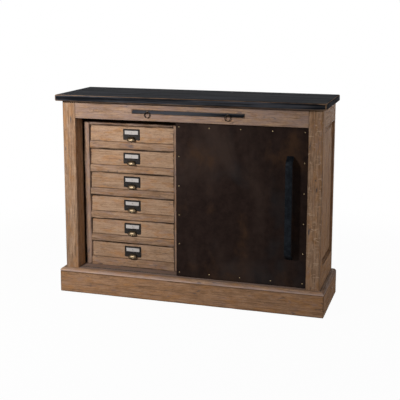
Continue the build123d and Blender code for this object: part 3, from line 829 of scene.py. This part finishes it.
def build_inside():
    """Back panel, partition, drawer casing and shelf, then finishes for the CAD shapes that stay."""
    whole("back", "cabinet", "inner_wood", "back_panel", Z, tone=0.8)
    whole("partition_board", "cabinet", "inner_wood", "partition", Z, tone=0.85)
    low, high = box("partition")
    thick = high[X] - low[X]
    low, high = box("bank_casing")
    bank_top = box("bank_face_frame")[1][Z]
    casing = [
        board(low, (low[X] + thick, high[Y], bank_top), Z, tone=0.7),
        # The casing's top board is near black: painted shade in the gap above the drawer bank
        board((low[X], low[Y], bank_top), high, X, tone=0.2),
    ]
    piece("casing", "cabinet", "inner_wood", casing, ["bank_casing"])
    whole("shelf_board", "cabinet", "oak_frame", "shelf", X, wear=fine_wear)
    for name in ("base_frame", "rear_top_rail", "drawer_runners", "shelf_cleats", "tray_runners"):
        dress(name, wood_inside)
    dress("door_tracks", track_steel)
    dress("back_panel_screws", finishes["steel"])


def build_bank():
    """The drawer bank's face frame: two stiles and the rails round the drawers."""
    low, high = box("bank_face_frame")
    fronts = [box(f"drawer_{number}_front") for number in drawer_numbers]
    left = fronts[0][0][X] - drawer_reveal
    right = fronts[0][1][X] + drawer_reveal
    boards = [
        board(low, (left, high[Y], high[Z]), Z, tone=0.9, wash=0.45),
        board((right, low[Y], low[Z]), high, Z, tone=0.9, wash=0.45),
    ]
    edges = [high[Z]]
    for front_low, front_high in fronts:
        edges += [front_high[Z] + drawer_top_gap, front_low[Z] - drawer_reveal]
    edges.append(low[Z])
    boards.append(board((left, low[Y], edges[1]), (right, high[Y], edges[0]), X, tone=0.92, wash=0.5))
    for upper, lower in zip(edges[2::2], edges[3::2]):
        start, end = (right, low[Y], lower), (left, low[Y], lower)
        tall, deep = upper - lower, high[Y] - low[Y]
        # The dark band along the rail's foot is painted shade, with some dirt
        profile = [(0, 0, 1.0), (0, rail_shade_band, 0.8), (0, 2 * rail_shade_band, 0.0)]
        profile += [(0, tall - rail_bevel_height, 0.0), (rail_bevel_depth, tall, 0.3)]
        profile += [(deep, tall, 0.3), (deep, 0, 0.0)]
        boards.append(strip(
            start, end, (0, 1, 0), (0, 0, 1), profile, mitre_start=False, mitre_end=False,
            tone=0.84, fleck=0.0, wash=0.28,
        ))
    piece("bank_frame", "cabinet", "oak_frame", boards, ["bank_face_frame"], bank_wood)


def build_drawer(number):
    """A drawer's front, box, pull and card."""
    body = f"drawer_{number}"
    low, high = box(f"{body}_front")
    front = board(low, high, X, radius=drawer_arris, wear=drawer_wear, wash=0.2)
    # The dark edge band, dirt and painted shadow, fades out towards the front's foot, so it is strongest at
    # the top and sides
    rise = (front[0][:, Z] - low[Z]) / (high[Z] - low[Z])
    front[2]["edge"] *= np.clip(rise / edge_shade_fade_share, 0, 1)
    piece(f"{body}_face", body, "oak_drawer", [front], [f"{body}_front"])
    low, high = box(f"{body}_box")
    floor = low[Z] + drawer_bottom_rise
    inner = low[X] + drawer_side, high[X] - drawer_side
    boards = [
        board(low, (inner[0], high[Y], high[Z]), Y),
        board((inner[1], low[Y], low[Z]), high, Y),
        board((inner[0], high[Y] - drawer_side, floor + drawer_bottom), (inner[1], high[Y], high[Z]), X),
        board((inner[0], low[Y], floor), (inner[1], high[Y], floor + drawer_bottom), X, tone=0.92),
    ]
    piece(f"{body}_tray", body, "inner_wood", boards, [f"{body}_box"])
    build_pull(number, body)


def outline(half_width, half_height, radius):
    """Points round a rectangle with round corners, as (x, z)."""
    points = []
    for turn, (sx, sz) in enumerate(((1, 1), (-1, 1), (-1, -1), (1, -1))):
        for share in np.linspace(0, 1, corner_steps):
            angle = (turn + share) * math.pi / 2
            x = sx * (half_width - radius) + radius * math.cos(angle)
            points.append((x, sz * (half_height - radius) + radius * math.sin(angle)))
    return points


def plate_rings(centre, half_width, half_height, radius, levels):
    """Rows of points for a plate that faces -Y. Each level is (inset, height above the back)."""
    rings = []
    for inset, rise in levels:
        corner = max(radius - inset, radius * least_round_share)
        shape = outline(half_width - inset, half_height - inset, corner)
        rings.append([(centre[X] + x, centre[Y] - rise, centre[Z] + z) for x, z in shape])
    return rings


def full_turn(count):
    """Even angles round a circle."""
    return np.linspace(0, 2 * math.pi, count, endpoint=False)


def dome(centre, radius, rise):
    """A round head that faces -Y."""
    rings = []
    for angle in np.linspace(0, math.pi / 2, dome_steps):
        reach = radius * max(math.cos(angle), dome_tip_share)
        y = centre[Y] - rise * math.sin(angle)
        turns = full_turn(2 * wire_steps)
        rings.append([(centre[X] + reach * math.cos(t), y, centre[Z] + reach * math.sin(t)) for t in turns])
    return loft(rings)


def tube(path, radius, closed=False):
    """A round wire along points, with its rings square to the path."""
    path = [Vector(point) for point in path]
    first, last = (path[-1], path[0]) if closed else (path[0], path[-1])
    rings = []
    side = None
    for before, point, after in zip([first, *path], path, [*path[1:], last]):
        run = (after - before).normalized()
        side = run.orthogonal() if side is None else side - run * side.dot(run)
        side = side.normalized()
        up = run.cross(side)
        turns = full_turn(wire_steps)
        rings.append([point + (side * math.cos(t) + up * math.sin(t)) * radius for t in turns])
    if closed:
        rings.append(rings[0])
    return loft(rings, caps=not closed)


def cup_curve(half, radius):
    """The cup's half section as (x, reach from its axis)."""
    shares = np.sin(np.linspace(-1, 1, cup_columns) * math.pi / 2)
    return [(half * s, radius * max(0.0, 1 - abs(s) ** cup_power) ** (1 / cup_power)) for s in shares]


def cup(centre):
    """A hollow quarter-turn cup that is open below, and the rolled wire along its mouth."""
    outer = cup_curve(cup_half, cup_radius)
    inner = cup_curve(cup_half - cup_wall, cup_radius - cup_wall)[::-1]
    section = outer + inner
    rings = []
    for angle in np.linspace(0, math.pi / 2, cup_rows):
        out, up = math.cos(angle), math.sin(angle)
        rings.append([(centre[X] + x, centre[Y] - r * out, centre[Z] + r * up) for x, r in section])
    points, faces, _ = loft(rings, caps=False)
    size, half = len(section), len(outer)
    for start, flip in ((0, True), ((cup_rows - 1) * size, False)):
        for spot in range(half - 1):
            quad = (spot, spot + 1, size - 2 - spot, size - 1 - spot)
            quad = tuple(start + i for i in quad)
            faces.append(quad if flip else quad[::-1])
    mouth = [(centre[X] + x, centre[Y] - reach, centre[Z]) for x, reach in outer]
    return [(points, faces, {}), tube(mouth, rim_radius)]


def build_pull(number, body):
    """Plate, label border, cup and pins of a pull, and its card with a plain number."""
    low, high = box(f"{body}_pull")
    card_low, card_high = box(f"{body}_card")
    card = (card_low + card_high) / 2
    middle_x = (low[X] + high[X]) / 2
    plate_low = low[Z] + pull_drop
    half_width, half_height = (high[X] - low[X]) / 2, (high[Z] - plate_low) / 2
    back = (middle_x, high[Y], (high[Z] + plate_low) / 2)
    levels = [(0, 0), (0, pull_plate - pull_bevel), (pull_bevel, pull_plate)]
    plate = plate_rings(back, half_width, half_height, pull_corner, levels)
    front_y = high[Y] - pull_plate
    reach = (card_high - card_low) / 2 + window_border
    bevel = border_bevel
    levels = [(0, 0), (0, border_rise - bevel), (bevel, border_rise), (window_border - bevel, border_rise)]
    levels += [(window_border, border_rise - bevel), (window_border, 0)]
    border = plate_rings((middle_x, front_y, card[Z]), reach[X], reach[Z], window_border, levels)
    parts = [loft(plate), loft(border, caps=False)]
    for side in (-1, 1):
        spot = (middle_x + side * (half_width - pin_inset_x), front_y, plate_low + pin_inset_z)
        parts.append(dome(spot, pin_radius, pin_rise))
    piece(f"{body}_plate", body, "antique_brass", parts, [f"{body}_pull"], pull_metal)
    piece(f"{body}_cup", body, "antique_brass", cup((middle_x, front_y, low[Z] + rim_radius)))
    whole(f"{body}_label", body, "label_card", f"{body}_card", X, radius=card_round)
    build_number(number, body, (card[X], card_low[Y], card[Z]))


def build_number(number, body, place):
    """A plain printed number on the card."""
    text = bpy.data.curves.new(f"{body}_digit", "FONT")
    text.body = str(number)
    text.size = card_ink_height
    text.align_x = text.align_y = "CENTER"
    text.extrude = card_ink_rise / 2
    made = add_object(f"{body}_digit", text)
    made.rotation_euler = (math.pi / 2, 0, 0)
    made.location = place
    text.materials.append(card_ink)
    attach(made, body)


def build_door():
    """Core, sheet, nails, handle and the hidden fittings of the sliding door."""
    whole("door_board", "door", "inner_wood", "door_core", Z, tone=0.6)
    low, high = box("door_sheet")
    radius = (high[Y] - low[Y]) * sheet_round_share
    points, faces, values = board(low, high, Z, radius=radius, step=sheet_step)
    swell = np.array([noise.noise(Vector((p[X], 0, p[Z])) * sheet_waves_per_metre) for p in points])
    calm = 1 - values["edge"]
    points[:, Y] += sheet_wave * (1 + swell) / 2 * calm * (points[:, Y] < (low[Y] + high[Y]) / 2)
    piece("door_skin", "door", "bronze_sheet", [(points, faces, values)], ["door_sheet"])
    columns = np.linspace(low[X] + nail_inset, high[X] - nail_inset, nail_columns)
    rows = np.linspace(low[Z] + nail_end_inset, high[Z] - nail_end_inset, nail_rows)
    spots = [(x, z) for x in columns for z in (rows[0], rows[-1])]
    spots += [(x, z) for x in (columns[0], columns[-1]) for z in rows[1:-1]]
    nails = [dome((x, low[Y], z), nail_radius, nail_rise) for x, z in spots]
    piece("nail_heads", "door", "brass_nails", nails, ["door_nails"])
    build_handle()
    dress("handle_bolts", finishes["steel"])
    dress("door_guides", finishes["nylon"])


def rounded_path(corners, bend, steps):
    """Straight runs, with a curve round each corner that starts and ends a bend's length from it."""
    points = [corners[0]]
    for before, corner, after in zip(corners, corners[1:], corners[2:]):
        start = corner + (before - corner).normalized() * bend
        end = corner + (after - corner).normalized() * bend
        for share in np.linspace(0, 1, steps):
            points.append(start.lerp(corner, share).lerp(corner.lerp(end, share), share))
    points.append(corners[-1])
    return points


def build_handle():
    """A flat bar with round edges whose ends bend back to the door."""
    low, high = box("door_handle")
    middle_x = (low[X] + high[X]) / 2
    foot = handle_foot / 2
    front = low[Y] + handle_thickness / 2
    reach = handle_end_run + foot / 2
    line = [
        Vector((middle_x, high[Y], high[Z] - foot)),
        Vector((middle_x, front, high[Z] - reach)),
        Vector((middle_x, front, low[Z] + reach)),
        Vector((middle_x, high[Y], low[Z] + foot)),
    ]
    path = rounded_path(line, handle_bend, handle_bend_steps)
    shape = outline((high[X] - low[X]) / 2, handle_thickness / 2, handle_round)
    across = Vector((1, 0, 0))
    stretch = handle_foot / handle_thickness
    ups = [across.cross((after - before).normalized()) for before, after in zip(path, path[2:])]
    ups = [Vector((0, 0, -stretch)), *ups, Vector((0, 0, stretch))]
    rings = [[point + across * x + up * z for x, z in shape] for point, up in zip(path, ups)]
    piece("handle_bar", "door", "black_iron", [loft(rings)], ["door_handle"])


def build_tray():
    """Pull-out tray with a black front strip, two screw eyes and their rings."""
    whole("tray_leaf", "tray", "black_wood", "tray_board", X)
    whole("tray_strip", "tray", "black_wood", "tray_front", X, wear=fine_wear)
    eyes = []
    for side in ("left", "right"):
        ring_low, ring_high = box(f"{side}_ring")
        middle = (ring_low + ring_high) / 2
        reach = (ring_high[Z] - ring_low[Z]) / 2 - ring_wire
        turns = full_turn(round_steps)
        hoop = [middle + reach * np.array([math.sin(t), 0, math.cos(t)]) for t in turns]
        piece(f"{side}_pull_ring", f"{side}_ring_body", "antique_brass", [tube(hoop, ring_wire, True)],
              [f"{side}_ring"], ring_brass)
        eye = middle + [0, 0, reach]
        loop = [eye + eye_radius * np.array([0, math.cos(t), math.sin(t)]) for t in turns]
        seat = np.array([eye[X], face_front, eye[Z]])
        eyes += [tube(loop, eye_wire, True), dome(seat, eye_base_radius, eye_base_rise)]
        eyes.append(tube([eye + [0, eye_radius, 0], seat], eye_wire))
    piece("tray_eyes", "tray", "antique_brass", eyes, ["ring_eyes"], ring_brass)


build_top()
build_face_frame()
build_floor_and_deck()
build_sides()
build_plinth()
build_inside()
build_bank()
for drawer in drawer_numbers:
    build_drawer(drawer)
build_door()
build_tray()


def seen_directly(tree):
    """1 for what the camera, gloss and glass see, and 0 for the light on other surfaces."""
    path = tree.nodes.new("ShaderNodeLightPath").outputs
    seen = path["Is Camera Ray"]
    for kind in ("Is Glossy Ray", "Is Transmission Ray"):
        either = tree.nodes.new("ShaderNodeMath")
        either.operation = "MAXIMUM"
        tree.links.new(seen, either.inputs[0])
        tree.links.new(path[kind], either.inputs[1])
        seen = either.outputs[0]
    return seen


def build_floor():
    """A pale floor that keeps the shadow near the object and is white further out."""
    mesh = bpy.data.meshes.new("floor")
    corners = [(x * floor_half, y * floor_half, 0) for x, y in ((-1, -1), (1, -1), (1, 1), (-1, 1))]
    mesh.from_pydata(corners, [], [(0, 1, 2, 3)])
    made = add_object("floor", mesh)
    n = Nodes("pale_floor")
    place = n.place()
    grit = n.noise(place, 6.0, detail=3.0)
    colour = n.cover(floor_grey, floor_dark, grit, 0.3, 0.7, 0.06)
    n.finish(colour, 0.9, specular=0.0)
    reach = n.node("ShaderNodeVectorMath", {0: place}, operation="LENGTH").outputs["Value"]
    bright = n.span(reach, floor_clear_radius, floor_white_radius, floor_near_white, 1.0)
    share = n.math("MULTIPLY", seen_directly(n.tree), bright)
    glow = n.node("ShaderNodeEmission", {"Color": white, "Strength": 1.0})
    mix = n.node("ShaderNodeMixShader", {0: share, 1: n.shader.outputs[0], 2: glow.outputs[0]})
    n.put(n.tree.nodes["Material Output"].inputs["Surface"], mix.outputs[0])
    mesh.materials.append(n.material)


def build_lamp(name, place, aim, size, power):
    """A soft rectangular lamp that the camera doesn't see."""
    data = bpy.data.lights.new(name, "AREA")
    data.shape = "RECTANGLE"
    data.size, data.size_y = size
    data.energy = power
    lamp = add_object(name, data)
    lamp.location = place
    lamp.rotation_euler = (Vector(aim) - Vector(place)).to_track_quat("-Z", "Y").to_euler()
    lamp.visible_camera = False


def build_world():
    """White where the camera, gloss and glass see it, and a soft grey light elsewhere."""
    world = bpy.data.worlds.new("studio")
    scene.world = world
    world.use_nodes = True
    tree = world.node_tree
    mix = tree.nodes.new("ShaderNodeMixShader")
    tree.links.new(seen_directly(tree), mix.inputs[0])
    shades = ((tree.nodes["Background"], sky_strength), (tree.nodes.new("ShaderNodeBackground"), 1.0))
    for spot, (shade, strength) in enumerate(shades, 1):
        shade.inputs["Color"].default_value = (*white, 1.0)
        shade.inputs["Strength"].default_value = strength
        tree.links.new(shade.outputs[0], mix.inputs[spot])
    tree.links.new(mix.outputs[0], tree.nodes["World Output"].inputs["Surface"])


def build_camera():
    """The camera that was fitted to the photo."""
    data = bpy.data.cameras.new("camera")
    data.lens = camera_lens
    data.shift_y = camera_shift_y
    made = add_object("camera", data)
    made.location = camera_place
    made.rotation_euler = (math.radians(90 - camera_pitch), 0, math.radians(camera_yaw))
    scene.camera = made


build_floor()
for lamp, settings in lamps.items():
    build_lamp(lamp, *settings)
build_world()
build_camera()
scene.view_settings.view_transform = "Standard"
